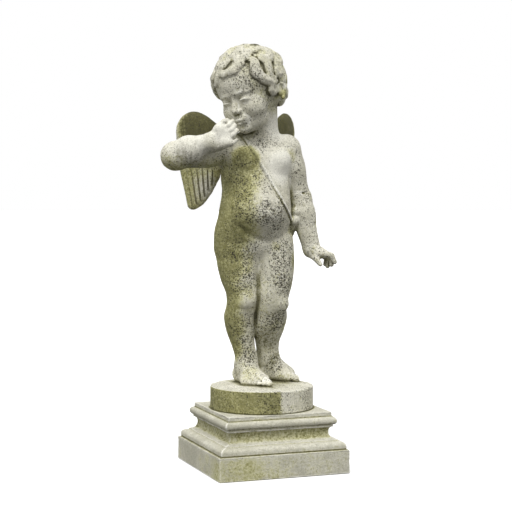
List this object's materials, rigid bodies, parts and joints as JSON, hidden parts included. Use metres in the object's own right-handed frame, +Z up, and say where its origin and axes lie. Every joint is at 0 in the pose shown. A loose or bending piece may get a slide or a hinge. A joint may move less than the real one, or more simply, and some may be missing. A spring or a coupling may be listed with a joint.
{
  "type": "stone putto statue",
  "caption": "Weathered stone putto with folded wings, a hand to the mouth, a shoulder strap and quiver, on a round base set on a moulded square plinth.",
  "frame": {"origin": "centre of the plinth's underside", "axes": "+Z up, the statue and plinth face -Y, +X to the putto's left"},
  "size_m": [0.4547, 0.3933, 1.0965],
  "materials": {
    "figure_stone": "weathered pale grey-beige cast stone with olive-green algae and dark pitting",
    "plinth_stone": "weathered pale grey-beige cast stone, lightly greened in the hollows"
  },
  "bodies": {
    "root": {"putto_figure": "figure_stone", "square_plinth": "plinth_stone"}
  },
  "joints": []
}
